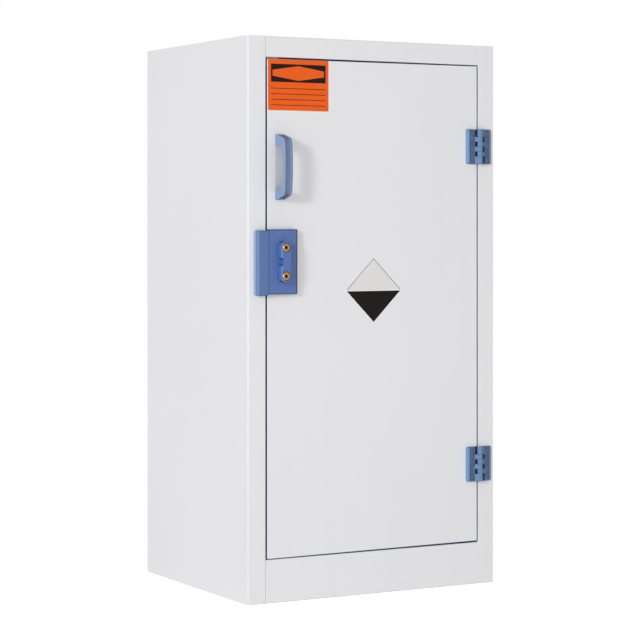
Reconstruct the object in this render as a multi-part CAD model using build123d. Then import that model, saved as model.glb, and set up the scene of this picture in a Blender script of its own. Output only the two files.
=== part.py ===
"""Single-door chemical safety cabinet of welded polypropylene sheet, in millimetres.

X runs to the right, Y to the back and Z up. The origin is the middle of the base, on the floor.
The door hangs at the right on two plastic knuckle hinges. At the left it carries a bow handle and
a lock case with two key cylinders, and each key pushes its own dead bolt into the keeper.
"""
from build123d import *
import os
from math import acos, atan2, cos, hypot, radians, sin

# --- carcass ---
width = 580.0
depth = 465.0
height = 1120.0
sheet = 8.0  # thickness of every carcass sheet and of the door
lock_stile_width = 39.8
hinge_stile_width = 38.4
top_rail_height = 41.0
plinth_height = 86.5
corner_radius = 3.0  # outside of every bend
bend_inner_radius = 1.0
seam = 0.3  # open butt seam between a rail and a stile
past = 1.0  # a cutting shape runs past the piece it cuts by this
overlap = 0.5  # two forms of one piece run into each other by this
near = 0.01  # spots closer than this are the same

# --- door ---
lock_gap = 2.7  # between the lock stile and the door
hinge_gap = 2.2
top_gap = 1.4  # over the door at the hinge side
bottom_gap = 1.0  # under the door at the lock side
droop = 1.8  # the lock side hangs lower by this
band_thickness = 1.0
band_setback = 0.8  # the band's front edge lies behind the door's face
door_corner_radius = 2.0
edge_break = 0.6
rib_length = 370.0
rib_height = 42.0
rib_depth = 15.0
rib_bevel = 4.0
rib_from_end = 96.0  # middle of an end rib from the opening's end

# --- stop strips behind the gap ---
stop_seat = 14.0  # how far a strip lies on the sheet behind it
stop_reach = 12.0  # how far it stands into the opening
stop_thickness = 6.0
stop_clearance = 0.5  # between the closed door and the strip
corner_block_length = 33.5  # into the opening, at the top of the lock side

# --- shelves ---
tray_width = 476.0  # over the rims: it passes the opening
tray_depth = 400.0
tray_wall = 4.0
tray_corner = 14.0
rim_width = 6.0
rim_thickness = 3.0
shelf_tray_height = 50.0
sump_tray_height = 60.0
tray_back_gap = 6.0
shelf_levels = {"lower": 400.0, "upper": 735.0}
angle_thickness = 6.0
angle_drop = 34.0
angle_overlap = 14.0  # of the ledge under the tray
angle_front_setback = 40.0

# --- handle ---
handle_from_door_edge = 17.3  # left face of the handle from the door's lock edge
handle_width = 18.6
handle_length = 129.0
handle_reach = 43.0
handle_below_top = 217.5  # middle of the handle under the opening's top
grip_thickness = 9.0
grip_bulge = 2.5  # the grip bows out by this between its shoulders
foot_thickness = 17.0
backplate_thickness = 2.0
handle_round = 2.0
# The shoulder as reach, and drop from the handle's end.
shoulder = [(10.0, 0.0), (36.0, 7.5), (handle_reach - grip_bulge, 17.0)]
shoulder_round = 7.0
throat_taper = 7.0  # each foot thickens by this towards the grip
throat_round = 6.0
flute_start = 14.0  # reach at which the flute begins
flute_width = 12.6
flute_depth = 2.2
flute_round = 2.0
handle_screw_depth = 18.0

# --- lock ---
lock_height = 128.5
lock_below_handle = 187.1
case_width = 64.2
case_depth = 12.0
case_overhang = 1.4  # the case stands over the door's lock edge
case_wall = 3.0
case_corner_round = 2.0
case_face_round = 1.4
boss_width = 21.6
boss_height = 82.5
boss_depth = 28.0  # front of the boss from the door's face
boss_from_edge = 29.7  # axis of the cylinders from the door's lock edge
boss_round = 1.2
notch_radius = 8.0
notch_depth = 6.1
cylinder_spacing = 56.4
housing_radius = 9.0
housing_fit = 0.05
housing_bevel = (2.0, 1.7)  # across and into the head
housing_ledge = 1.6  # step in the case behind the housing
housing_proud = 0.3
housing_ring = 0.9  # open ring sunk round the housing's head
housing_ring_depth = 1.6
plug_radius = 5.4
plug_fit = 0.05
plug_round = 0.4
plug_setback = 0.5
keyway_width = 2.2
keyway_height = 6.2
keyway_depth = 7.0
dish_radius = 4.6
dish_depth = 1.9
dish_taper = 2.6
tail_side = 6.0
crank_radius = 7.0  # from the cylinder's axis to the crank pin
crank_pin_radius = 2.0
crank_disc_radius = 9.8
crank_disc_thickness = 2.7
slide_gap = 0.3
bolt_height = 22.0
bolt_thickness = 3.4
bolt_relief = 1.6  # room before the bolt's face, behind the crank disc and in the keeper
bolt_tail = 12.3  # from the cylinder's axis to the bolt's back end
bolt_setback = 1.6  # nose inside the case when drawn back
bolt_bevel = 1.0
slot_clearance = 0.45
key_turn = 90.0
guide_rib = 2.0
post_radius = 4.4
post_inset = (15.8, 8.4)  # along X and Z from the case's corners
case_screw_depth = 8.0

# --- keeper ---
keeper_width = 27.7
keeper_drop = 2.2  # it sits lower than the case
keeper_overhang = 0.6  # it stands over the stile's edge
keeper_foot = 3.9  # sloped foot along its outer side
keeper_bevel = 2.9  # along the outer edge of its face
keeper_end_break = 0.8
pocket_depth = 13.0
pocket_fit = 0.7
keeper_screw_inset = 9.0  # from the keeper's outer edge
keeper_screw_end = 12.0  # outer screws from the keeper's ends
keeper_screw_depth = 8.0

# --- hinges ---
hinge_height = 72.0
hinge_below_top = 169.5  # middle of the upper hinge under the opening's top
hinge_above_bottom = 163.5  # middle of the lower hinge over the opening's bottom
leaf_thickness = 6.0
axis_rise = 0.5  # the pin's axis stands in front of the leaves' faces by this
# Outer and inner edge of each leaf from the pin's axis.
door_leaf_reach = (30.4, 11.4)
frame_leaf_reach = (28.9, 12.4)
web_reach = 4.6  # a thin web behind the other leaf's knuckles ends this far from the axis
web_thickness = 0.8
leaf_corner = 3.0
leaf_bevel = 2.0
field_depth = 1.2
field_border = 5.4
field_inner_border = 1.0
field_end_border = 2.6
knuckle_radius = 6.0
end_knuckle = 15.6
knuckle_gap = 0.45
pin_radius = 2.2
pin_fit = 0.05
cap_radius = 4.4
cap_rise = 1.8
cap_round = 1.3
hinge_screw_inset = 9.5  # from the leaf's top and bottom ends
hinge_screw_depth = 6.6  # into the sheet
screw_radius = 2.0
screw_head_radius = 3.8
screw_head_height = 2.2
screw_head_taper = 0.8
recess_length = 4.2  # crossed driver slots in a screw head
recess_width = 0.9
recess_depth = 1.4
screw_fit = 0.1

# --- plug in the left side ---
side_plug_radius = 2.0
side_plug_head = 3.2
side_plug_rise = 1.0
side_plug_level = 424.0
side_plug_from_back = 57.0

# Places that follow from the sizes above.
left, right = -width / 2, width / 2
front, back = -depth / 2, depth / 2
opening_left, opening_right = left + lock_stile_width, right - hinge_stile_width
opening_bottom, opening_top = plinth_height, height - top_rail_height
door_left, door_right = opening_left + lock_gap, opening_right - hinge_gap
sheet_back = front + sheet
stop_face = sheet_back + stop_clearance
stop_back = sheet_back + stop_thickness
hinge_axis_x = opening_right
leaf_face = front - leaf_thickness
hinge_axis_y = leaf_face - axis_rise
hinge_levels = {
    "upper": opening_top - hinge_below_top,
    "lower": opening_bottom + hinge_above_bottom,
}
handle_level = opening_top - handle_below_top
lock_level = handle_level - lock_below_handle
rib_levels = {
    "bottom": opening_bottom + rib_from_end,
    "middle": (opening_bottom + opening_top) / 2,
    "top": opening_top - rib_from_end,
}
lock_axis_x = door_left + boss_from_edge
cylinder_levels = {
    "upper": lock_level + cylinder_spacing / 2,
    "lower": lock_level - cylinder_spacing / 2,
}
case_left = door_left - case_overhang
case_right = case_left + case_width
case_face = front - case_depth
case_inside = case_face + case_wall
boss_face = front - boss_depth
handle_left = door_left + handle_from_door_edge
handle_right = handle_left + handle_width

os.makedirs("parts", exist_ok=True)


def save(shape, node):
    """Writes one node."""
    export_step(shape, f"parts/{node}.step")


def block(x, y, z):
    """A box between the two values of each pair."""
    size = [span[1] - span[0] for span in (x, y, z)]
    middle = [(span[0] + span[1]) / 2 for span in (x, y, z)]
    return Pos(*middle) * Box(*size)


def prism(points, axis, start, end):
    """A polygon across an axis, given by its other two coordinates, drawn out along that axis."""
    place = {
        "x": lambda a, b: (start, a, b),
        "y": lambda a, b: (a, start, b),
        "z": lambda a, b: (a, b, start),
    }[axis]
    along = {"x": (1, 0, 0), "y": (0, 1, 0), "z": (0, 0, 1)}[axis]
    outline = Polyline(*[place(a, b) for a, b in points], close=True)
    return extrude(make_face(outline), amount=end - start, dir=along)


def turned(x, z, profile):
    """A turned piece about a line along Y: the profile lists its radius and Y, from axis to axis."""
    outline = Polyline(*[(x + radius, y, z) for radius, y in profile], close=True)
    return revolve(make_face(outline), Axis((x, 0, z), (0, 1, 0)), 360)


def rod(x, z, radius, y_start, y_end):
    """A plain round bar along Y."""
    return turned(x, z, [(0, y_start), (radius, y_start), (radius, y_end), (0, y_end)])


def edges_along(shape, axis, *spots):
    """The edges along an axis that pass through the given spots across it."""
    across = {Axis.X: ("Y", "Z"), Axis.Y: ("X", "Z"), Axis.Z: ("X", "Y")}[axis]
    found = []
    for edge in shape.edges().filter_by(axis):
        middle = edge.center()
        here = [getattr(middle, name) for name in across]
        if any(abs(here[0] - a) < near and abs(here[1] - b) < near for a, b in spots):
            found.append(edge)
    return found


def cross_recess(x, z, face_y):
    """The crossed driver slots in a screw head whose face looks to +Y."""
    slots = Part()
    for wide, tall in ((recess_length, recess_width), (recess_width, recess_length)):
        slots += block((x - wide / 2, x + wide / 2), (face_y - recess_depth, face_y + past),
                       (z - tall / 2, z + tall / 2))
    return slots


def countersunk(x, z, head_y, tip_y, grow=0.0):
    """A countersunk screw whose flat head faces +Y at head_y; grow gives the hole for it."""
    shank, head = screw_radius + grow, screw_head_radius + grow
    cone_end = head_y - screw_head_height
    return turned(x, z, [(0, tip_y - grow), (shank, tip_y - grow), (shank, cone_end),
                         (head, head_y), (0, head_y)])


# Sides. Each is one sheet with the front stile bent from it at a tight radius.
def side(outer, inward, stile_width):
    """A side panel at outer, with its stile running inward (+1 or -1)."""
    inner, stile_edge = outer + inward * sheet, outer + inward * stile_width
    panel = prism([(outer, front), (stile_edge, front), (stile_edge, sheet_back),
                   (inner, sheet_back), (inner, back), (outer, back)], "z", 0, height)
    panel = fillet(edges_along(panel, Axis.Z, (inner, sheet_back)), bend_inner_radius)
    panel = fillet(edges_along(panel, Axis.Z, (outer, front)), corner_radius)
    return chamfer(edges_along(panel, Axis.Z, (stile_edge, front)), edge_break)


# Stile and door holes are drilled below, so the screws are laid out first. Those of the hinges
# stand in the middle of each leaf's sunk field.
hinge_screw_x = {
    hand: hinge_axis_x + way * (outer - field_border + inner + field_inner_border) / 2
    for hand, way, (outer, inner) in (("door", -1, door_leaf_reach), ("frame", 1, frame_leaf_reach))
}
hinge_screw_levels = [level + way * (hinge_height / 2 - hinge_screw_inset)
                      for level in hinge_levels.values() for way in (-1, 1)]
keeper_right = opening_left + keeper_overhang
keeper_left = keeper_right - keeper_width
keeper_level = lock_level - keeper_drop
keeper_screw_x = keeper_left + keeper_screw_inset
keeper_screw_levels = [keeper_level + way * (lock_height / 2 - keeper_screw_end) for way in (-1, 0, 1)]
case_screw_spots = [(x, lock_level + way * (lock_height / 2 - post_inset[1]))
                    for x in (case_left + post_inset[0], case_right - post_inset[1])
                    for way in (-1, 1)]
handle_middle = (handle_left + handle_right) / 2
handle_screw_levels = [handle_level + way * (handle_length - foot_thickness) / 2
                       for way in (-1, 1)]

plug_y = back - side_plug_from_back
plug_hole = Pos(left + sheet / 2, plug_y, side_plug_level) * Rot(0, 90, 0) * Cylinder(
    side_plug_radius, sheet + past)

left_side = side(left, 1, lock_stile_width) - plug_hole
for level in keeper_screw_levels:
    left_side -= rod(keeper_screw_x, level, screw_radius + screw_fit, front - past, sheet_back + past)
save(left_side, "left_side")

right_side = side(right, -1, hinge_stile_width)
for level in hinge_screw_levels:
    right_side -= rod(hinge_screw_x["frame"], level, screw_radius + screw_fit,
                      front - past, front + hinge_screw_depth + screw_fit)
save(right_side, "right_side")


# Plug that closes a drilled hole in the left side: a shank and a low domed head outside.
ball_radius = (side_plug_head**2 + side_plug_rise**2) / (2 * side_plug_rise)
head = Pos(left - side_plug_rise + ball_radius, plug_y, side_plug_level) * Sphere(ball_radius)
head &= block((left - side_plug_rise - past, left),
              (plug_y - side_plug_head - past, plug_y + side_plug_head + past),
              (side_plug_level - side_plug_head - past, side_plug_level + side_plug_head + past))
shank = Pos(left + sheet / 2, plug_y, side_plug_level) * Rot(0, 90, 0) * Cylinder(
    side_plug_radius - screw_fit, sheet)
save(head + shank, "side_plug")


# Top and bottom panels. The front rail of each is bent from it and lies between the stiles.
def cap_panel(outer, inward, rail_height):
    """A panel at level outer with a rail of rail_height, bent towards inward (+1 up, -1 down)."""
    inner, rail_edge = outer + inward * sheet, outer + inward * rail_height
    bent = prism([(front, outer), (sheet_back, outer), (sheet_back, rail_edge),
                  (front, rail_edge)], "x", opening_left + seam, opening_right - seam)
    plate = block((left + sheet, right - sheet), (sheet_back, back), sorted((outer, inner)))
    plate = chamfer(edges_along(plate, Axis.Z, (left + sheet, sheet_back),
                                (right - sheet, sheet_back)), bend_inner_radius)
    panel = bent + plate
    panel = fillet(edges_along(panel, Axis.X, (front, outer)), corner_radius)
    return chamfer(edges_along(panel, Axis.X, (front, rail_edge)), edge_break)


save(cap_panel(height, -1, top_rail_height), "top_panel")
save(cap_panel(0.0, 1, plinth_height), "bottom_panel")
save(block((left + sheet, right - sheet), (back - sheet, back), (sheet, height - sheet)),
     "back_panel")


# Stop strips. Each lies on the back of its stile or rail and stands into the opening behind
# the door's edge, so its colour shows through the gap.
def stop_profile(edge, inward):
    """The strip's section as (across the gap, Y), for the opening's edge and the way into it."""
    seat, reach = edge - inward * stop_seat, edge + inward * stop_reach
    return [(seat, sheet_back), (edge, sheet_back), (edge, stop_face), (reach, stop_face),
            (reach, stop_back), (seat, stop_back)]


def upright_stop(edge, inward, low, high):
    return prism(stop_profile(edge, inward), "z", low, high)


def level_stop(edge, inward, start, end):
    return prism([(y, across) for across, y in stop_profile(edge, inward)], "x", start, end)


lock_stop_edge = opening_left + stop_reach
hinge_stop_edge = opening_right - stop_reach
corner_block_end = opening_left + corner_block_length
stop_low, stop_high = opening_bottom - stop_seat, opening_top + stop_seat
save(upright_stop(opening_left, 1, stop_low, opening_top - stop_reach), "stop_strip_lock_side")
save(upright_stop(opening_right, -1, stop_low, stop_high), "stop_strip_hinge_side")
save(level_stop(opening_bottom, 1, lock_stop_edge, hinge_stop_edge), "stop_strip_bottom")
save(level_stop(opening_top, -1, corner_block_end, hinge_stop_edge), "stop_strip_top")
save(level_stop(opening_top, -1, opening_left - stop_seat, corner_block_end),
     "stop_corner_block")


# Spill trays with a turned-out rim, and the angles that carry the two shelf trays.
tray_back = back - sheet - tray_back_gap
tray_front = tray_back - tray_depth
body_half = tray_width / 2 - rim_width


def tray(level, tray_height):
    """An open tray standing at level: rounded corners, thin walls and a rim turned outwards."""
    high = level + tray_height
    body = block((-body_half, body_half), (tray_front + rim_width, tray_back - rim_width),
                 (level, high))
    body = fillet(body.edges().filter_by(Axis.Z), tray_corner)
    rim = block((-tray_width / 2, tray_width / 2), (tray_front, tray_back),
                (high - rim_thickness, high))
    rim = fillet(rim.edges().filter_by(Axis.Z), tray_corner + rim_width)
    hollow = block((-body_half + tray_wall, body_half - tray_wall),
                   (tray_front + rim_width + tray_wall, tray_back - rim_width - tray_wall),
                   (level + tray_wall, high + past))
    hollow = fillet(hollow.edges().filter_by(Axis.Z), tray_corner - tray_wall)
    return body + rim - hollow


save(tray(sheet, sump_tray_height), "sump_tray")
for name, level in shelf_levels.items():
    save(tray(level, shelf_tray_height), f"{name}_tray")
    for hand, wall, inward in (("left", left + sheet, 1), ("right", right - sheet, -1)):
        ledge_end = -inward * (body_half - angle_overlap)
        leg = wall + inward * angle_thickness
        angle = prism([(wall, level), (ledge_end, level), (ledge_end, level - angle_thickness),
                       (leg, level - angle_thickness), (leg, level - angle_drop),
                       (wall, level - angle_drop)],
                      "y", front + angle_front_setback, back - sheet)
        save(angle, f"{name}_{hand}_support")


# Door panel: flush with the stiles. Its top and bottom edges run down to the lock side.
def door_outline(inset):
    """The door's four corners, moved in from its outer edge by inset."""
    low_lock, low_hinge = opening_bottom + bottom_gap, opening_bottom + bottom_gap + droop
    high_lock, high_hinge = opening_top - top_gap - droop, opening_top - top_gap
    return [(door_left + inset, low_lock + inset), (door_right - inset, low_hinge + inset),
            (door_right - inset, high_hinge - inset), (door_left + inset, high_lock - inset)]


def door_slab(inset, y_start, y_end):
    slab = prism(door_outline(inset), "y", y_start, y_end)
    return fillet(slab.edges().filter_by(Axis.Y), door_corner_radius + band_thickness - inset)


door_panel = door_slab(band_thickness, front, sheet_back)
door_panel = chamfer(door_panel.faces().sort_by(Axis.Y)[0].edges(), edge_break)
case_screws, handle_screws = [], []
for x, level in case_screw_spots:
    case_screws.append(countersunk(x, level, sheet_back, front - case_screw_depth)
                       - cross_recess(x, level, sheet_back))
    door_panel -= countersunk(x, level, sheet_back, front - case_screw_depth, screw_fit)
for level in handle_screw_levels:
    tip = front - handle_screw_depth
    handle_screws.append(countersunk(handle_middle, level, sheet_back, tip)
                         - cross_recess(handle_middle, level, sheet_back))
    door_panel -= countersunk(handle_middle, level, sheet_back, tip, screw_fit)
for level in hinge_screw_levels:
    door_panel -= rod(hinge_screw_x["door"], level, screw_radius + screw_fit,
                      front - past, front + hinge_screw_depth + screw_fit)
save(door_panel, "door_panel")
save(Part() + case_screws, "lock_case_screws")
save(Part() + handle_screws, "handle_screws")

band_front = front + band_setback
band = door_slab(0.0, band_front, sheet_back) - door_slab(band_thickness, front, sheet_back + past)
save(band, "door_edge_band")

rib_middle = (door_left + door_right) / 2
for name, level in rib_levels.items():
    rib = block((rib_middle - rib_length / 2, rib_middle + rib_length / 2),
                (sheet_back, sheet_back + rib_depth),
                (level - rib_height / 2, level + rib_height / 2))
    rib = chamfer(rib.faces().sort_by(Axis.Y)[-1].edges(), rib_bevel)
    save(rib, f"door_rib_{name}")


# Handle: a bow with sloped shoulders and a fluted, slightly bulging grip, on a thin backplate.
def bulging(points, x_start, x_end):
    """Draws (reach, height) points, mirrored about the handle's middle, out along X. The side
    between the last point and its mirror image bows out by the grip's bulge."""
    upper = [(x_start, front - reach, handle_level + rise) for reach, rise in points]
    lower = [(x_start, front - reach, handle_level - rise) for reach, rise in reversed(points)]
    crown = (x_start, front - points[-1][0] - grip_bulge, handle_level)
    outline = Polyline(*upper) + ThreePointArc(upper[-1], crown, lower[0]) + Polyline(*lower, upper[0])
    return extrude(make_face(outline), amount=x_end - x_start, dir=(1, 0, 0))


handle_half = handle_length / 2
inner_reach = handle_reach - grip_bulge - grip_thickness
foot_inner = handle_half - foot_thickness


def bow_body(inset, x_start, x_end):
    """The bow without its throat, with its outline moved in by inset."""
    outline = [(backplate_thickness, handle_half - inset)]
    outline += [(reach - inset, handle_half - drop - inset) for reach, drop in shoulder]
    body = bulging(outline, x_start, x_end)
    bends = [(front - reach, handle_level + way * height) for reach, height in outline[2:]
             for way in (-1, 1)]
    return fillet(edges_along(body, Axis.X, *bends), shoulder_round)


bow = bow_body(0.0, handle_left, handle_right)
rim_edges = [edge for edge in bow.edges()
             if edge.center().Y < front - backplate_thickness - near
             and min(abs(edge.center().X - face) for face in (handle_left, handle_right)) < near]
bow = fillet(rim_edges, handle_round)
throat_corner = (inner_reach, foot_inner - throat_taper)
throat = bulging([(0.0, foot_inner), throat_corner], handle_left - past, handle_right + past)
throat = fillet(edges_along(throat, Axis.X, *[
    (front - throat_corner[0], handle_level + way * throat_corner[1]) for way in (-1, 1)]),
    throat_round)
flute_span = (handle_middle - flute_width / 2, handle_middle + flute_width / 2)
flute = bow_body(0.0, *flute_span) - bow_body(flute_depth, *flute_span)
flute &= block(flute_span, (front - handle_reach - past, front - flute_start),
               (handle_level - handle_half, handle_level + handle_half))
nearly_bottom = bow_body(0.75 * flute_depth, handle_left, handle_right).solid()
flute = fillet([edge for edge in flute.edges()
                if min(abs(edge.center().X - wall) for wall in flute_span) < near
                and nearly_bottom.is_inside(edge.center())], flute_round)
bow = bow - throat - flute
backplate = block((handle_left, handle_right), (front - backplate_thickness, front),
                  (handle_level - handle_half, handle_level + handle_half))
for level in handle_screw_levels:
    hole = rod(handle_middle, level, screw_radius + screw_fit,
               front - handle_screw_depth - screw_fit, front + past)
    bow -= hole
    backplate -= hole
save(bow, "handle")
save(backplate, "handle_backplate")


# Lock case: an open-backed shell with an obround boss that holds the two key cylinders. Each
# dead bolt slides between two ribs behind the case's face and leaves through a window.
case_low, case_high = lock_level - lock_height / 2, lock_level + lock_height / 2
case = block((case_left, case_right), (case_face, front), (case_low, case_high))
case = fillet(case.edges().filter_by(Axis.Y), case_corner_round)
case = fillet(case.faces().sort_by(Axis.Y)[0].edges(), case_face_round)
case -= block((case_left + case_wall, case_right - case_wall), (case_inside, front + past),
              (case_low + case_wall, case_high - case_wall))
boss_root = case_inside - overlap
boss_plane = Plane(origin=(0, boss_root, 0), x_dir=(1, 0, 0), z_dir=(0, -1, 0))
boss = extrude(boss_plane * Pos(lock_axis_x, lock_level) * Rot(0, 0, 90)
               * SlotOverall(boss_height, boss_width), amount=boss_root - boss_face)
boss = fillet(boss.faces().sort_by(Axis.Y)[0].edges(), boss_round)
boss -= rod(lock_axis_x - boss_width / 2 + notch_depth - notch_radius, lock_level,
            notch_radius, boss_face - past, case_face)
case += boss

bolt_track = case_inside + slide_gap + crank_disc_thickness + slide_gap
bolt_front = bolt_track + bolt_relief
bolt_back = bolt_front + bolt_thickness
bolt_nose = case_left + bolt_setback
bolt_end = lock_axis_x + bolt_tail
for level in cylinder_levels.values():
    case -= rod(lock_axis_x, level, housing_radius + housing_fit, boss_face - past, case_face)
    case -= rod(lock_axis_x, level, housing_radius + housing_ring,
                boss_face - past, boss_face + housing_ring_depth)
    case -= rod(lock_axis_x, level, housing_radius - housing_ledge,
                case_face - past, case_inside + past)
    half_window = bolt_height / 2 + slide_gap
    for way in (-1, 1):
        rib_face = level + way * half_window
        case += block((case_left + case_wall - overlap, bolt_end), (boss_root, bolt_back),
                      sorted((rib_face, rib_face + way * guide_rib)))
    case -= block((case_left - past, case_left + case_wall + past),
                  (bolt_track - slide_gap, front + past), (level - half_window, level + half_window))
for x, level in case_screw_spots:
    case += rod(x, level, post_radius, boss_root, front)
for x, level in case_screw_spots:
    case -= rod(x, level, screw_radius + screw_fit, front - case_screw_depth - screw_fit,
                front + past)
save(case, "lock_case")


# Key cylinders. Housing, turning plug, crank disc with its pin, and the bolt it pushes.
crank_travel = 2 * crank_radius * sin(radians(key_turn / 2))
pin_side = crank_radius * sin(radians(key_turn / 2))
pin_rise = crank_radius * cos(radians(key_turn / 2))
disc_front = case_inside + slide_gap
disc_back = disc_front + crank_disc_thickness
housing_front = boss_face - housing_proud
for name, level in cylinder_levels.items():
    housing = turned(lock_axis_x, level, [
        (0, housing_front), (housing_radius - housing_bevel[0], housing_front),
        (housing_radius, housing_front + housing_bevel[1]), (housing_radius, case_face),
        (0, case_face)])
    housing -= rod(lock_axis_x, level, plug_radius + plug_fit, housing_front - past, case_face + past)
    save(housing, f"{name}_cylinder_housing")

    plug_front = housing_front + plug_setback
    plug = rod(lock_axis_x, level, plug_radius, plug_front, disc_front)
    plug = fillet(plug.edges().filter_by(GeomType.CIRCLE).sort_by(Axis.Y)[0], plug_round)
    plug -= turned(lock_axis_x, level, [
        (0, plug_front - past), (dish_radius, plug_front - past), (dish_radius, plug_front),
        (dish_radius - dish_taper, plug_front + dish_depth), (0, plug_front + dish_depth)])
    plug -= block((lock_axis_x - keyway_width / 2, lock_axis_x + keyway_width / 2),
                  (plug_front - past, plug_front + keyway_depth),
                  (level - keyway_height / 2, level + keyway_height / 2))
    tail = block((lock_axis_x - tail_side / 2, lock_axis_x + tail_side / 2),
                 (disc_front - overlap, disc_back), (level - tail_side / 2, level + tail_side / 2))
    save(plug + tail, f"{name}_key_plug")

    pin_x, pin_z = lock_axis_x + pin_side, level + pin_rise
    crank = rod(lock_axis_x, level, crank_disc_radius, disc_front, disc_back)
    tail_hole = tail_side / 2 + plug_fit
    crank -= block((lock_axis_x - tail_hole, lock_axis_x + tail_hole),
                   (disc_front - past, disc_back + past), (level - tail_hole, level + tail_hole))
    crank += rod(pin_x, pin_z, crank_pin_radius, disc_back - overlap, bolt_back - slide_gap)
    save(crank, f"{name}_crank")

    slot_half = crank_pin_radius + slot_clearance
    bolt = block((bolt_nose, bolt_end), (bolt_front, bolt_back),
                 (level - bolt_height / 2, level + bolt_height / 2))
    bolt = chamfer(bolt.faces().sort_by(Axis.X)[0].edges().filter_by(Axis.Z), bolt_bevel)
    bolt -= block((pin_x - slot_half, pin_x + slot_half), (bolt_front - past, bolt_back + past),
                  (level + pin_rise - slot_half, level + crank_radius + slot_half))
    save(bolt, f"{name}_dead_bolt")

# Keeper: a block on the stile with a bevelled outer edge, a sloped foot beside it that is mitred
# at both ends, and one pocket for each bolt.
keeper_low, keeper_high = keeper_level - lock_height / 2, keeper_level + lock_height / 2
keeper_wall = keeper_left + keeper_foot
keeper = block((keeper_wall, keeper_right), (case_face, front), (keeper_low, keeper_high))
keeper = chamfer(edges_along(keeper, Axis.Z, (keeper_wall, case_face)), keeper_bevel)
keeper = chamfer([edge for face in (keeper.faces().sort_by(Axis.Z)[0],
                                    keeper.faces().sort_by(Axis.Z)[-1])
                  for edge in face.edges() if edge.center().Y < front - near], keeper_end_break)
foot = prism([(keeper_left, front), (keeper_wall, front - keeper_foot),
              (keeper_wall + overlap, front - keeper_foot), (keeper_wall + overlap, front)],
             "z", keeper_low, keeper_high)
keeper += foot & prism([(keeper_left, keeper_low + keeper_foot), (keeper_wall, keeper_low),
                        (keeper_right, keeper_low), (keeper_right, keeper_high),
                        (keeper_wall, keeper_high), (keeper_left, keeper_high - keeper_foot)],
                       "y", case_face, front)
for level in cylinder_levels.values():
    half_pocket = bolt_height / 2 + pocket_fit
    keeper -= block((keeper_right - pocket_depth, keeper_right + past),
                    (bolt_track - pocket_fit, front + past),
                    (level - half_pocket, level + half_pocket))
keeper_screws = []
for level in keeper_screw_levels:
    tip = front - keeper_screw_depth
    keeper -= rod(keeper_screw_x, level, screw_radius + screw_fit, tip - screw_fit, front + past)
    head_top = sheet_back + screw_head_height
    keeper_screws.append(turned(keeper_screw_x, level, [
        (0, tip), (screw_radius, tip), (screw_radius, sheet_back),
        (screw_head_radius, sheet_back), (screw_head_radius - screw_head_taper, head_top),
        (0, head_top)]) - cross_recess(keeper_screw_x, level, head_top))
save(keeper, "lock_keeper")
save(Part() + keeper_screws, "keeper_screws")


# Hinges. The knuckles alternate, the frame's first at the top; each has a sloped neck that runs
# up from its leaf, and beside it the other leaf is cut back to a thin web.
middle_knuckle = (hinge_height - 2 * end_knuckle - 5 * knuckle_gap) / 4
knuckle_lengths = [end_knuckle] + [middle_knuckle] * 4 + [end_knuckle]


def knuckle_spans(level):
    """The six knuckles from the top, as pairs of low and high."""
    spans, high = [], level + hinge_height / 2
    for length in knuckle_lengths:
        spans.append((high - length, high))
        high -= length + knuckle_gap
    return spans


def hinge_leaf(level, way, reach, spans):
    """A leaf on one side of the pin (way -1 left, +1 right) with its knuckles at spans."""
    outer, inner = reach
    outer_x, inner_x = hinge_axis_x + way * outer, hinge_axis_x + way * inner
    low, high = level - hinge_height / 2, level + hinge_height / 2
    leaf = block(sorted((outer_x, inner_x)), (leaf_face, front), (low, high))
    leaf = fillet(edges_along(leaf, Axis.Y, (outer_x, low), (outer_x, high)), leaf_corner)
    leaf = chamfer(edges_along(leaf, Axis.Z, (outer_x, leaf_face)), leaf_bevel)
    field_x = sorted((outer_x - way * field_border, inner_x + way * field_inner_border))
    leaf -= block(field_x, (leaf_face - past, leaf_face + field_depth),
                  (low + field_end_border, high - field_end_border))
    leaf += block(sorted((inner_x + way * overlap, hinge_axis_x + way * web_reach)),
                  (front - web_thickness, front), (low, high))
    lean = acos(knuckle_radius / hypot(inner, axis_rise)) - atan2(axis_rise, inner)
    tangent = (hinge_axis_x + way * knuckle_radius * cos(lean),
               hinge_axis_y - knuckle_radius * sin(lean))
    knuckle_back = hinge_axis_y + knuckle_radius
    neck = [(inner_x + way * overlap, leaf_face), (inner_x, leaf_face), tangent,
            (hinge_axis_x, hinge_axis_y), (hinge_axis_x, knuckle_back),
            (inner_x + way * overlap, knuckle_back)]
    for span in spans:
        leaf += prism(neck, "z", *span)
        leaf += (Pos(hinge_axis_x, hinge_axis_y, sum(span) / 2)
                 * Cylinder(knuckle_radius, span[1] - span[0]))
    leaf -= (Pos(hinge_axis_x, hinge_axis_y, level)
             * Cylinder(pin_radius + pin_fit, hinge_height + 2 * past))
    return leaf


def hinge_screw(x, level):
    """A pan-head screw sunk into the leaf's field."""
    seat = leaf_face + field_depth
    top = seat + slide_gap
    return turned(x, level, [(0, top), (screw_head_radius - screw_head_taper, top),
                             (screw_head_radius, top + screw_head_height),
                             (screw_radius, top + screw_head_height),
                             (screw_radius, front + hinge_screw_depth),
                             (0, front + hinge_screw_depth)])


def hinge_screw_hole(x, level):
    seat = leaf_face + field_depth
    bottom = seat + slide_gap + screw_head_height
    return (rod(x, level, screw_head_radius + screw_fit, seat - past, bottom)
            + rod(x, level, screw_radius + screw_fit, seat, front + past))


def screw_cap(x, level):
    """A low button with a rounded rim that stands on the leaf's field over a screw."""
    seat = leaf_face + field_depth
    cap = rod(x, level, cap_radius, seat - cap_rise, seat)
    return fillet(cap.edges().filter_by(GeomType.CIRCLE).sort_by(Axis.Y)[0], cap_round)


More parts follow.
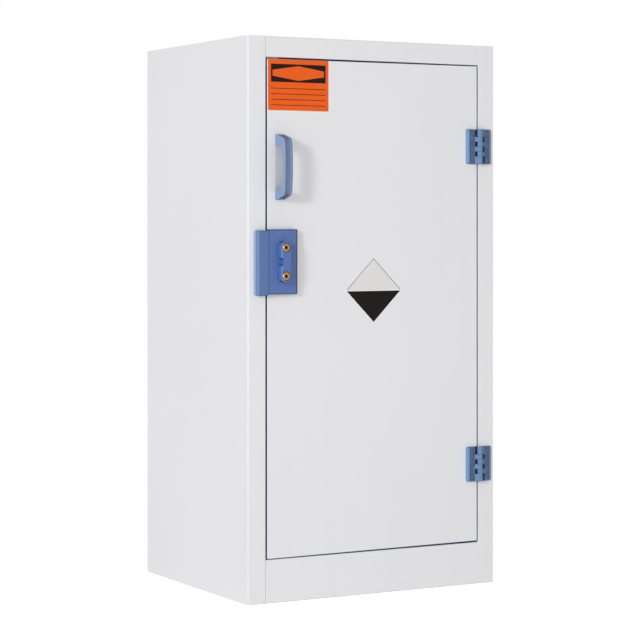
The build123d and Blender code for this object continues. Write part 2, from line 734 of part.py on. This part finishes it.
for name, level in hinge_levels.items():
    spans = knuckle_spans(level)
    leaves = {
        "frame": hinge_leaf(level, 1, frame_leaf_reach, spans[0::2]),
        "door": hinge_leaf(level, -1, door_leaf_reach, spans[1::2]),
    }
    for hand, leaf in leaves.items():
        for way in (-1, 1):
            screw_level = level + way * (hinge_height / 2 - hinge_screw_inset)
            leaf -= hinge_screw_hole(hinge_screw_x[hand], screw_level)
        save(leaf, f"{name}_hinge_{hand}_leaf")
    save(Pos(hinge_axis_x, hinge_axis_y, level) * Cylinder(pin_radius, hinge_height),
         f"{name}_hinge_pin")

for hand, x in hinge_screw_x.items():
    save(Part() + [hinge_screw(x, level) for level in hinge_screw_levels],
         f"{hand}_hinge_screws")
    save(Part() + [screw_cap(x, level) for level in hinge_screw_levels], f"{hand}_screw_caps")

print(f"bolt travel {crank_travel:.3f} mm, axis of the keys X {lock_axis_x:.3f}")
print(f"hinge axis X {hinge_axis_x:.3f} Y {hinge_axis_y:.3f}")
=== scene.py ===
from math import pi, radians

import bpy
import numpy as np
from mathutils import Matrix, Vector


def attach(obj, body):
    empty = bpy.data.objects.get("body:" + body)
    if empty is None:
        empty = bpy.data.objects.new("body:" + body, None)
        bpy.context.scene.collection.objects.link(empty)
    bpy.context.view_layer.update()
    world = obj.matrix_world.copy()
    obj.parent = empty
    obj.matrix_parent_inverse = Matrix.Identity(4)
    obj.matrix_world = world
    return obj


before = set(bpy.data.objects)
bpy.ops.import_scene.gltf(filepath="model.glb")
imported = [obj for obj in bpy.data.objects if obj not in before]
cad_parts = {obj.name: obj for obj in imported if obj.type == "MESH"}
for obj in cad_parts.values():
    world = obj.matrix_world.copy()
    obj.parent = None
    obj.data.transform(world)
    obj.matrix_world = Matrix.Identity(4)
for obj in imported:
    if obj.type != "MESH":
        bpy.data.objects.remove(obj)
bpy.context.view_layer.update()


# --- Carcass ---
# Sides, top, bottom and back are 8 mm polypropylene sheet. The extruder leaves faint lines that
# run up the sheet, and its satin skin takes fine scuffs. The side's front edge is bent into a
# stile, and the rails above and below the door are bent from the top and bottom.
class Wire:
    """What comes out of a shader node. Python's operators on it add Math nodes."""

    def __init__(self, paint, socket):
        self.paint, self.socket = paint, socket

    def math(self, operation, *values):
        return self.paint.node("ShaderNodeMath", {"operation": operation}, dict(enumerate(values)))

    def __add__(self, other):
        return self.math("ADD", self, other)

    def __sub__(self, other):
        return self.math("SUBTRACT", self, other)

    def __rsub__(self, other):
        return self.math("SUBTRACT", other, self)

    def __mul__(self, other):
        return self.math("MULTIPLY", self, other)

    def __abs__(self):
        return self.math("ABSOLUTE", self)

    __radd__, __rmul__ = __add__, __mul__

    def ramp(self, start, end):
        """Goes smoothly from 0 at start to 1 at end, and stays level outside them."""
        settings = {"interpolation_type": "SMOOTHSTEP"}
        return self.paint.node("ShaderNodeMapRange", settings, {0: self, 1: start, 2: end})

    def between(self, low, high, soft):
        """1 from low to high and 0 outside, with edges that are soft on both sides."""
        return self.ramp(low - soft, low + soft) * self.ramp(high + soft, high - soft)


def tone(red, green, blue):
    """A colour given as a display shows it, 0 to 255, as the linear colour a shader takes."""
    shown = np.array([red, green, blue]) / 255
    return (*np.where(shown > 0.04045, ((shown + 0.055) / 1.055) ** 2.4, shown / 12.92).tolist(), 1.0)


class Paint:
    """A material made up node by node. finish holds the constants of its surface.

    x, y and z are the place on the piece in metres. faces_x and faces_z are how far the surface
    turns to the right and up, from -1 to 1.
    """

    def __init__(self, name, finish):
        self.material = bpy.data.materials.new(name)
        self.material.use_nodes = True
        self.tree = self.material.node_tree
        self.surface = self.tree.nodes["Principled BSDF"]
        for socket, value in finish.items():
            self.surface.inputs[socket].default_value = value
        self.spot = self.node("ShaderNodeTexCoord", {}, {}, "Object")
        self.x, self.y, self.z = self.parts(self.spot)
        self.faces_x, _, self.faces_z = self.parts(self.node("ShaderNodeTexCoord", {}, {}, "Normal"))

    def parts(self, vector):
        """The x, y and z of a vector, as three wires."""
        return [self.node("ShaderNodeSeparateXYZ", {}, {0: vector}, place) for place in range(3)]

    def node(self, kind, settings, feeds, output=0):
        """Adds a node, sets it, and feeds its sockets with values or wires."""
        made = self.tree.nodes.new(kind)
        for setting, value in settings.items():
            setattr(made, setting, value)
        for socket, value in feeds.items():
            self.feed(made.inputs[socket], value)
        return Wire(self, made.outputs[output])

    def feed(self, socket, value):
        if isinstance(value, Wire):
            self.tree.links.new(value.socket, socket)
        else:
            socket.default_value = value

    def blend(self, share, first, second):
        """The first colour where share is 0 and the second where it is 1."""
        return self.node("ShaderNodeMix", {"data_type": "RGBA"}, {0: share, 6: first, 7: second}, 2)

    def cloud(self, size, detail=2.0, stretch=(1, 1, 1)):
        """Noise from 0 to 1, whose lumps are size metres across times the stretch along each axis."""
        scale = [1 / (size * share) for share in stretch]
        spot = self.node("ShaderNodeMapping", {}, {"Vector": self.spot, "Scale": scale})
        return self.node("ShaderNodeTexNoise", {}, {"Vector": spot, "Scale": 1.0, "Detail": detail})

    def bump(self, height, strength, distance):
        """Turns a height into the surface's normal. distance is how tall 1 is, in metres."""
        normal = self.node("ShaderNodeBump", {},
                           {"Strength": strength, "Distance": distance, "Height": height})
        self.feed(self.surface.inputs["Normal"], normal)

    def colour(self, value):
        self.coat = value
        self.feed(self.surface.inputs["Base Color"], value)

    def lay(self, share, over):
        """Lays a colour over what the paint has so far, where share is 1."""
        self.colour(self.blend(share, self.coat, over))

    def roughness(self, value):
        self.feed(self.surface.inputs["Roughness"], value)


def dress(paint, *names):
    """Gives CAD pieces their material."""
    for name in names:
        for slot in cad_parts[name].material_slots:
            slot.material = paint.material


def sheet_plastic(name, plain, shade, lines):
    """Satin polypropylene sheet that drifts between two tones. lines stretches its faint streaks."""
    paint = Paint(name, {"IOR": 1.49})
    drift = paint.cloud(0.35, 2.0)
    streak = paint.cloud(0.012, 3.0, lines)
    scuff = paint.cloud(0.004, 4.0, (1, 1, 9)).ramp(0.66, 0.80) * paint.cloud(0.11, 2.0).ramp(0.52, 0.70)
    paint.colour(paint.blend(drift * 0.7 + streak * 0.3, plain, shade))
    paint.roughness(0.40 + streak * 0.08 + scuff * 0.18)
    paint.bump(paint.cloud(0.0016, 2.0) * 0.6 + streak * 0.4, 0.25, 0.00008)
    return paint


white_sheet = sheet_plastic("white_sheet", tone(228, 228, 230), tone(222, 222, 225), (1, 1, 60))
dress(white_sheet, "left_side", "right_side", "back_panel", "top_panel", "bottom_panel")


# --- Side plug ---
# A moulded plug that closes the drilled hole near the back edge of the left side: a low domed
# head in the sheet's own white.
plug_plastic = sheet_plastic("plug_plastic", tone(232, 232, 234), tone(220, 220, 224), (1, 1, 1))
dress(plug_plastic, "side_plug")


# --- Stop strips ---
# Strips of blue plastic welded behind the stiles and rails. The closed door lands on them, and
# through the gap round it they show as a dark blue line. A pale block fills one corner.
def moulded_plastic(name, plain, shade, rough=0.36):
    """Satin moulded plastic with a fine grain and a slow drift between two tones."""
    paint = Paint(name, {"IOR": 1.49, "Specular IOR Level": 0.25})
    paint.colour(paint.blend(paint.cloud(0.03, 3.0), plain, shade))
    scuff = paint.cloud(0.0025, 4.0, (1, 1, 6)).ramp(0.62, 0.80)
    paint.roughness(rough + paint.cloud(0.02) * 0.08 + scuff * 0.12)
    paint.bump(paint.cloud(0.0006, 2.0), 0.3, 0.00006)
    return paint


stop_blue = moulded_plastic("stop_blue", tone(26, 62, 118), tone(34, 72, 130), 0.5)
dress(stop_blue, "stop_strip_top", "stop_strip_bottom", "stop_strip_lock_side",
      "stop_strip_hinge_side")
corner_pale = moulded_plastic("corner_pale", tone(196, 203, 216), tone(206, 211, 222), 0.5)
dress(corner_pale, "stop_corner_block")


# --- Trays ---
# Pressed spill trays of thin natural polypropylene, on welded angles. They are a little greyer than
# the carcass, with marks along the way they were pressed and scuffs where bottles slide.
tray_plastic = sheet_plastic("tray_plastic", tone(226, 227, 229), tone(216, 218, 222), (30, 1, 1))
dress(tray_plastic, "sump_tray", "lower_tray", "upper_tray", "lower_left_support",
      "lower_right_support", "upper_left_support", "upper_right_support")


# --- Door ---
# One sheet, flush with the stiles, with stiffening ribs welded behind it. A blue band is glued
# round its cut edges.
dress(white_sheet, "door_panel", "door_rib_top", "door_rib_middle", "door_rib_bottom")
band_blue = moulded_plastic("band_blue", tone(30, 62, 100), tone(38, 70, 108), 0.45)
dress(band_blue, "door_edge_band")


# --- Handle ---
# A bow moulded in blue plastic. Its faces turned left, the thin flank and the flute's right wall
# among them, are painted paler as painted light, and its faces turned right, such as the flute's
# left wall, and those turned up or down are painted darker as painted shade. A pale plate lies
# between its feet.
handle_middle = -0.2209
handle_blue = moulded_plastic("handle_blue", tone(104, 120, 150), tone(112, 128, 158), 0.3)
handle_right = handle_blue.x.ramp(handle_middle - 0.002, handle_middle + 0.002)
handle_left = 1 - handle_right
left_face_highlight = handle_blue.faces_x.ramp(-0.25, -0.75)
right_face_shade = handle_blue.faces_x.ramp(0.2, 0.7)
# Painted light on faces turned left, painted shade on faces turned right.
handle_blue.lay(left_face_highlight * handle_right, tone(122, 146, 188))
handle_blue.lay(left_face_highlight * handle_left, tone(132, 159, 193))
handle_blue.lay(right_face_shade * handle_left, tone(62, 78, 108))
handle_blue.lay(right_face_shade * handle_right, tone(56, 66, 96))
# Painted shade on faces turned up or down.
handle_blue.lay(abs(handle_blue.faces_z).ramp(0.6, 0.95), tone(78, 92, 124))
dress(handle_blue, "handle")
plate_grey = moulded_plastic("plate_grey", tone(196, 200, 208), tone(202, 206, 214), 0.4)
dress(plate_grey, "handle_backplate")


# --- Lock and keeper ---
# Both are screwed on and moulded in blue plastic with a fine spark-eroded grain. On the case, faces
# turned left, the boss's left flank among them, are painted brighter as painted light, with a
# painted highlight along the flank's top. Faces turned right, up or down, the case's rims and the
# flank's foot are painted darker as painted shade. The keeper's faces turned left are painted
# lighter as painted light, its thin sloped foot carries a pale painted highlight, and its top and
# bottom rims carry painted shade.
lock_blue = moulded_plastic("lock_blue", tone(82, 108, 162), tone(88, 114, 168))
# Painted light on faces turned left, painted shade on faces turned right, up and down.
lock_blue.lay(lock_blue.faces_x.ramp(-0.3, -0.9), tone(80, 120, 192))
lock_blue.lay(lock_blue.faces_x.ramp(0.25, 0.8), tone(50, 54, 88))
lock_blue.lay(lock_blue.faces_z.ramp(0.35, 0.9), tone(62, 76, 108))
lock_blue.lay(lock_blue.faces_z.ramp(-0.35, -0.9), tone(44, 66, 122))
case_face, boss_face = -0.2445, -0.2605
left_flank = lock_blue.faces_x.ramp(-0.2, -0.6)
flank_top_highlight = lock_blue.y.ramp(boss_face + 0.0015, boss_face + 0.0005)
flank_foot_shade = lock_blue.y.ramp(case_face - 0.0019, case_face - 0.0005)
# Painted highlight along the top of the boss's left flank, painted shade at its foot.
lock_blue.lay(left_flank * flank_top_highlight, tone(126, 160, 214))
lock_blue.lay(left_flank * flank_foot_shade, tone(50, 80, 142))
case_right, case_low, case_high = -0.1847, 0.61015, 0.73865
# Painted shade along the case's top, bottom and right rims.
lock_blue.lay(lock_blue.z.ramp(case_high - 0.0026, case_high - 0.0016), tone(62, 78, 120))
lock_blue.lay(lock_blue.z.ramp(case_low + 0.0026, case_low + 0.0016), tone(64, 80, 124))
lock_blue.lay(lock_blue.x.ramp(case_right - 0.0035, case_right - 0.0023), tone(46, 50, 86))
dress(lock_blue, "lock_case")
keeper_blue = moulded_plastic("keeper_blue", tone(84, 110, 158), tone(90, 116, 164))
# Painted light on faces turned left, a little less on those turned fully left.
keeper_blue.lay(keeper_blue.faces_x.ramp(-0.3, -0.65), tone(98, 126, 180))
keeper_blue.lay(keeper_blue.faces_x.ramp(-0.8, -0.97), tone(80, 112, 164))
keeper_left, foot_end = -0.2773, -0.2734
# Painted highlight on the keeper's thin sloped foot.
keeper_foot = keeper_blue.x.ramp(foot_end + 0.0003, foot_end - 0.0003)
foot_highlight_tone = keeper_blue.blend(keeper_blue.x.ramp(foot_end, keeper_left + 0.0003),
                              tone(122, 148, 184), tone(150, 170, 196))
keeper_blue.lay(keeper_foot, foot_highlight_tone)
keeper_middle, keeper_half = 0.6722, 0.06425  # its level and half its height
# Painted shade along the keeper's top and bottom rims.
keeper_rim_shade = abs(keeper_blue.z - keeper_middle).ramp(keeper_half - 0.00165, keeper_half - 0.00085)
keeper_blue.lay(keeper_rim_shade * (1 - keeper_foot), tone(66, 86, 132))
dress(keeper_blue, "lock_keeper")

# Two brass cylinders stand in the boss, turned and polished. The dish, the keyway, the groove round
# the plug and the rim of each head are painted dark as painted shade.
brass = Paint("brass", {"Metallic": 1.0})
brass.colour(brass.blend(brass.cloud(0.002, 3.0), tone(196, 158, 112), tone(160, 120, 76)))
dish_lip, dish_floor = -0.2600, -0.2588
# Painted shade in the dish and the keyway.
brass.lay(brass.y.ramp(dish_lip, dish_floor), tone(58, 42, 30))
key_x, cylinder_middle, cylinder_offset = -0.2178, 0.6744, 0.0282
plug_radius, head_radius = 0.0054, 0.0090
across = brass.x - key_x
up = abs(brass.z - cylinder_middle) - cylinder_offset
off_axis = across * across + up * up
from_axis = off_axis.math("SQRT", off_axis)
# Painted shade in the groove round the plug and at the rim of each head.
brass.lay(from_axis.between(plug_radius - 0.0001, plug_radius + 0.0002, 0.00015), tone(84, 60, 40))
brass.lay(from_axis.ramp(head_radius - 0.0008, head_radius - 0.0001), tone(96, 70, 46))
brass.roughness(0.18 + brass.cloud(0.0015, 3.0) * 0.14)
brass.bump(brass.cloud(0.0004, 2.0), 0.2, 0.00003)
dress(brass, "upper_cylinder_housing", "lower_cylinder_housing", "upper_key_plug",
      "lower_key_plug")


# --- Steel ---
# Screws, hinge pins, crank discs and dead bolts are bright zinc-plated steel with turned marks.
# The bolts slide between the case's ribs, and each disc sits on the square tail of its plug.
steel = Paint("steel", {"Metallic": 1.0})
steel.colour(steel.blend(steel.cloud(0.003, 3.0), tone(186, 188, 190), tone(160, 162, 166)))
steel.roughness(0.24 + steel.cloud(0.0012, 3.0, (1, 8, 8)) * 0.16)
steel.bump(steel.cloud(0.0003, 2.0, (1, 8, 8)), 0.2, 0.00003)
dress(steel, "handle_screws", "lock_case_screws", "keeper_screws", "door_hinge_screws",
      "frame_hinge_screws", "upper_hinge_pin", "lower_hinge_pin", "upper_crank", "lower_crank",
      "upper_dead_bolt", "lower_dead_bolt")


# --- Hinges ---
# Moulded in grey-blue plastic and screwed on, with domed caps of a glossier plastic over the
# screws. The sunk fields are a darker, mottled blue than the raised borders and the knuckles. The
# door leaf's left border is painted paler as painted light. The frame leaf's right rim and faces
# turned right, up or down are painted darker as painted shade, and the slots behind the knuckles
# are painted near black as painted shade.
hinge_middle, hinge_half, leaf_face = 0.25085, 0.02965, -0.2385
hinge_blue = moulded_plastic("hinge_blue", tone(102, 134, 176), tone(96, 126, 166))
from_middle = abs(hinge_blue.x - hinge_middle)
sunk = hinge_blue.y.ramp(leaf_face + 0.0002, leaf_face + 0.0009)
inside_flanks = from_middle.ramp(hinge_half - 0.00035, hinge_half - 0.00105)
field_tone = hinge_blue.blend(hinge_blue.cloud(0.006, 3.0).ramp(0.35, 0.65), tone(68, 88, 120),
                              tone(82, 102, 136))
hinge_blue.lay(sunk * inside_flanks, field_tone)
lit_border_edge, shaded_rim_edge = 0.2264, 0.2769  # the door leaf left of one, the frame leaf right of the other
# Painted shade on the frame leaf's right rim, painted light on the door leaf's left border.
hinge_blue.lay(hinge_blue.x.ramp(shaded_rim_edge - 0.0003, shaded_rim_edge + 0.0003), tone(70, 86, 124))
hinge_blue.lay(hinge_blue.x.ramp(lit_border_edge + 0.0004, lit_border_edge - 0.0004), tone(110, 145, 187))
# Painted shade on faces turned right.
hinge_blue.lay(hinge_blue.faces_x.ramp(0.3, 0.8), tone(58, 74, 102))
slot_mouth, slot_floor, slot_reach = -0.2366, -0.2345, 0.0110
pin_x = 0.2516
# Painted shade in the slots behind the knuckles.
slot_shade_tone = hinge_blue.blend(hinge_blue.x.ramp(pin_x - 0.0006, pin_x + 0.0006), tone(6, 14, 34),
                             tone(40, 50, 70))
in_slot = hinge_blue.y.ramp(slot_mouth, slot_floor) * from_middle.ramp(slot_reach, slot_reach - 0.0015)
hinge_blue.lay(in_slot, slot_shade_tone)
# Painted shade on faces turned up or down.
hinge_blue.lay(abs(hinge_blue.faces_z).ramp(0.6, 0.95), tone(48, 60, 92))
dress(hinge_blue, "upper_hinge_door_leaf", "upper_hinge_frame_leaf", "lower_hinge_door_leaf",
      "lower_hinge_frame_leaf")
cap_blue = moulded_plastic("cap_blue", tone(78, 94, 124), tone(88, 104, 134), 0.25)
dress(cap_blue, "door_screw_caps", "frame_screw_caps")


# --- Contents label ---
# A printed vinyl label near the door's top left corner: an orange ground, a black panel with an
# elongated orange hexagon in it, and four blank ruled lines, under a satin lacquer.
def slab(name, outline, back, front):
    """A thin flat piece. The outline shrinks to its middle on both faces.

    outline holds the x and z of each point round the edge, anticlockwise as the front face shows
    it. A point that is share of the way from the middle to the edge lies at
    middle + share x (edge - middle), and the rows go from the back's middle round to the front's.
    """
    middle = outline.mean(axis=0)
    rows = [(0.5, back), (1.0, back), (1.0, front), (0.5, front)]
    rings = []
    for share, y in rows:
        flat = middle + share * (outline - middle)
        rings.append(np.column_stack([flat[:, 0], np.full(len(flat), y), flat[:, 1]]))
    ends = [(middle[0], back, middle[1]), (middle[0], front, middle[1])]
    points = np.concatenate([*rings, np.array(ends)])
    count = len(outline)
    step = np.arange(count)
    after = (step + 1) % count
    faces = []
    for row in range(len(rows) - 1):
        low, high = row * count, (row + 1) * count
        faces += np.column_stack([low + step, low + after, high + after, high + step]).tolist()
    last = (len(rows) - 1) * count
    faces += np.column_stack([after, step, np.full(count, len(points) - 2)]).tolist()
    faces += np.column_stack([last + step, last + after, np.full(count, len(points) - 1)]).tolist()
    mesh = bpy.data.meshes.new(name)
    mesh.from_pydata(points.tolist(), [], faces)
    made = bpy.data.objects.new(name, mesh)
    bpy.context.scene.collection.objects.link(made)
    return made


def rounded(half_width, half_height, radius):
    """The edge of a rectangle with round corners: a circle whose quarters are pulled apart."""
    count = 96
    turn = (np.arange(count) + 0.5) / count * 2 * np.pi
    around = np.column_stack([np.cos(turn), np.sin(turn)])
    return np.sign(around) * (np.array([half_width, half_height]) - radius) + radius * around


def stick(made, paint):
    """Puts a printed label on the door."""
    made.data.materials.append(paint.material)
    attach(made, "door")


door_face = -0.2325
film_thickness = 0.0002
label_left, label_right = -0.245, -0.1075
label_low, label_high = 0.974, 1.0755
label_middle = np.array([(label_left + label_right) / 2, (label_low + label_high) / 2])
label_half = np.array([(label_right - label_left) / 2, (label_high - label_low) / 2])
contents = slab("contents_label", label_middle + rounded(*label_half, 0.0025), door_face,
                door_face - film_thickness)
print_edge = 0.00015  # how soft the edge of the ink is
ink = tone(20, 17, 20)
label_paint = Paint("label_print", {"IOR": 1.49, "Specular IOR Level": 0.12})
orange = label_paint.blend(label_paint.cloud(0.02, 3.0), tone(236, 98, 30), tone(228, 91, 26))
label_paint.colour(orange)
from_centre = abs(label_paint.x - float(label_middle[0]))
panel_top = label_high - 0.0097
panel_low = panel_top - 0.0358
panel_half = float(label_half[0]) - 0.0067
in_width = from_centre.ramp(panel_half + print_edge, panel_half - print_edge)
label_paint.lay(label_paint.z.between(panel_low, panel_top, print_edge) * in_width, ink)
badge_half = panel_half - 0.0036
badge_rise, badge_end_rise = 0.0146, 0.0059  # from its level to its edge, at its middle and its ends
badge_reach = badge_rise - from_centre * ((badge_rise - badge_end_rise) / badge_half)
above = abs(label_paint.z - (panel_low + panel_top) / 2)
badge = ((badge_reach - above).ramp(-print_edge, print_edge)
         * from_centre.ramp(badge_half + print_edge, badge_half - print_edge))
label_paint.lay(badge, orange)
top_line, line_gap, line_half = 1.0175, 0.011, 0.0006  # the lines are twice line_half thick
for line in top_line - line_gap * np.arange(4):
    low, high = float(line) - line_half, float(line) + line_half
    label_paint.lay(label_paint.z.between(low, high, print_edge) * in_width, ink)
label_paint.roughness(0.34 + label_paint.cloud(0.004, 3.0) * 0.12)
stick(contents, label_paint)


# --- Diamond label ---
# A printed vinyl label on the middle of the door, square and turned on its corner: a white border,
# a thin dark line round the pale upper half, a white strip, and a near-black lower half, both blank.
diamond_x, diamond_z = -0.002, 0.615
diamond_half = 0.0486  # half its side
diagonal = np.sqrt(0.5)
eighth_turn = np.array([[diagonal, diagonal], [-diagonal, diagonal]])
diamond = slab("diamond_label",
               np.array([diamond_x, diamond_z]) + rounded(diamond_half, diamond_half, 0.002) @ eighth_turn,
               door_face, door_face - film_thickness)
diamond_paint = Paint("diamond_print", {"IOR": 1.49, "Specular IOR Level": 0.12})
diamond_paint.colour(diamond_paint.blend(diamond_paint.cloud(0.02, 3.0), tone(232, 232, 233),
                                         tone(224, 224, 226)))
reach = (abs(diamond_paint.x - diamond_x) + abs(diamond_paint.z - diamond_z)) * float(diagonal)
outer_line = diamond_half - 0.0030
inner_line = outer_line - 0.0010
within_outer = reach.ramp(outer_line + print_edge, outer_line - print_edge)
within_inner = reach.ramp(inner_line + print_edge, inner_line - print_edge)
upper = diamond_paint.z.ramp(diamond_z + 0.0010, diamond_z + 0.0014)
lower = diamond_paint.z.ramp(diamond_z - 0.0014, diamond_z - 0.0018)
diamond_paint.lay(within_outer * upper, ink)
diamond_paint.lay(within_inner * upper, tone(220, 219, 217))
diamond_paint.lay(within_outer * lower, tone(16, 12, 8))
diamond_paint.roughness(0.34 + diamond_paint.cloud(0.004, 3.0) * 0.12)
stick(diamond, diamond_paint)


# --- Studio ---
# A white surround and a pale floor that keeps the cabinet's shadow. The key lamp stands far to the
# left and grazes the front, a broad one fills from the front, and two small ones lift the foot. The
# camera is a long lens at lock height, its frame shifted so that the uprights stay parallel.
def seen_directly(tree):
    """1 for what the camera sees, straight or mirrored in or through a surface, and 0 for light."""
    path = tree.nodes.new("ShaderNodeLightPath")
    share = path.outputs["Is Camera Ray"]
    for kind in ("Is Glossy Ray", "Is Transmission Ray"):
        most = tree.nodes.new("ShaderNodeMath")
        most.operation = "MAXIMUM"
        tree.links.new(share, most.inputs[0])
        tree.links.new(path.outputs[kind], most.inputs[1])
        share = most.outputs[0]
    return share


sky_light = 0.52  # strength of the surround on the cabinet, where the camera sees 1
world = bpy.data.worlds.new("studio")
bpy.context.scene.world = world
world.use_nodes = True
tree = world.node_tree
strength = tree.nodes.new("ShaderNodeMapRange")
tree.links.new(seen_directly(tree), strength.inputs["Value"])
strength.inputs["To Min"].default_value = sky_light
strength.inputs["To Max"].default_value = 1.0
tree.nodes["Background"].inputs["Color"].default_value = (1, 1, 1, 1)
tree.links.new(strength.outputs[0], tree.nodes["Background"].inputs["Strength"])

floor_half = 14.0  # half the floor's side
floor_glow = 0.6  # what the camera sees of the floor over the light that falls on it
corners = floor_half * np.array([(-1, -1, 0), (1, -1, 0), (1, 1, 0), (-1, 1, 0)])
mesh = bpy.data.meshes.new("floor")
mesh.from_pydata(corners.tolist(), [], [(0, 1, 2, 3)])
floor = bpy.data.objects.new("floor", mesh)
bpy.context.scene.collection.objects.link(floor)
material = bpy.data.materials.new("studio_floor")
material.use_nodes = True
mesh.materials.append(material)
tree = material.node_tree
tree.nodes.clear()
matt = tree.nodes.new("ShaderNodeBsdfDiffuse")
matt.inputs["Color"].default_value = (0.9, 0.9, 0.9, 1)
glow = tree.nodes.new("ShaderNodeEmission")
share = tree.nodes.new("ShaderNodeMath")
share.operation = "MULTIPLY"
share.inputs[1].default_value = floor_glow
tree.links.new(seen_directly(tree), share.inputs[0])
tree.links.new(share.outputs[0], glow.inputs["Strength"])
both = tree.nodes.new("ShaderNodeAddShader")
tree.links.new(matt.outputs[0], both.inputs[0])
tree.links.new(glow.outputs[0], both.inputs[1])
output = tree.nodes.new("ShaderNodeOutputMaterial")
tree.links.new(both.outputs[0], output.inputs["Surface"])


def lamp(name, place, aim, size, watts):
    """A square area lamp at place that faces aim."""
    light = bpy.data.lights.new(name, "AREA")
    light.size, light.energy = size, watts
    made = bpy.data.objects.new(name, light)
    bpy.context.scene.collection.objects.link(made)
    made.location = place
    made.rotation_euler = (Vector(aim) - Vector(place)).to_track_quat("-Z", "Y").to_euler()


lamp("key", (-7.57, -4.48, 2.6), (0.0, -0.2, 0.6), 1.2, 312)
lamp("front", (-0.9, -4.6, 0.4), (0.0, -0.2, 0.3), 2.5, 48)
lamp("low_front", (0.2, -1.8, 0.1), (0.15, -0.2, 0.1), 0.8, 2.0)
lamp("low_side", (-1.8, 0.9, 0.1), (-0.29, 0.2, 0.2), 0.8, 2.2)

photo_size = 640  # pixels across and down
focal_pixels = 2145
centre_pixel = (280, 221)  # where the lens's axis meets the picture
camera_turn = 28.53  # degrees to the right of straight on
camera = bpy.data.objects.new("camera", bpy.data.cameras.new("camera"))
bpy.context.scene.collection.objects.link(camera)
camera.location = (-2.244, -3.9595, 0.755)
camera.rotation_euler = (pi / 2, 0, -radians(camera_turn))
camera.data.sensor_width = 36.0
camera.data.lens = focal_pixels / photo_size * camera.data.sensor_width
camera.data.shift_x = 0.5 - centre_pixel[0] / photo_size
camera.data.shift_y = centre_pixel[1] / photo_size - 0.5
bpy.context.scene.camera = camera
bpy.context.scene.view_settings.view_transform = "Standard"
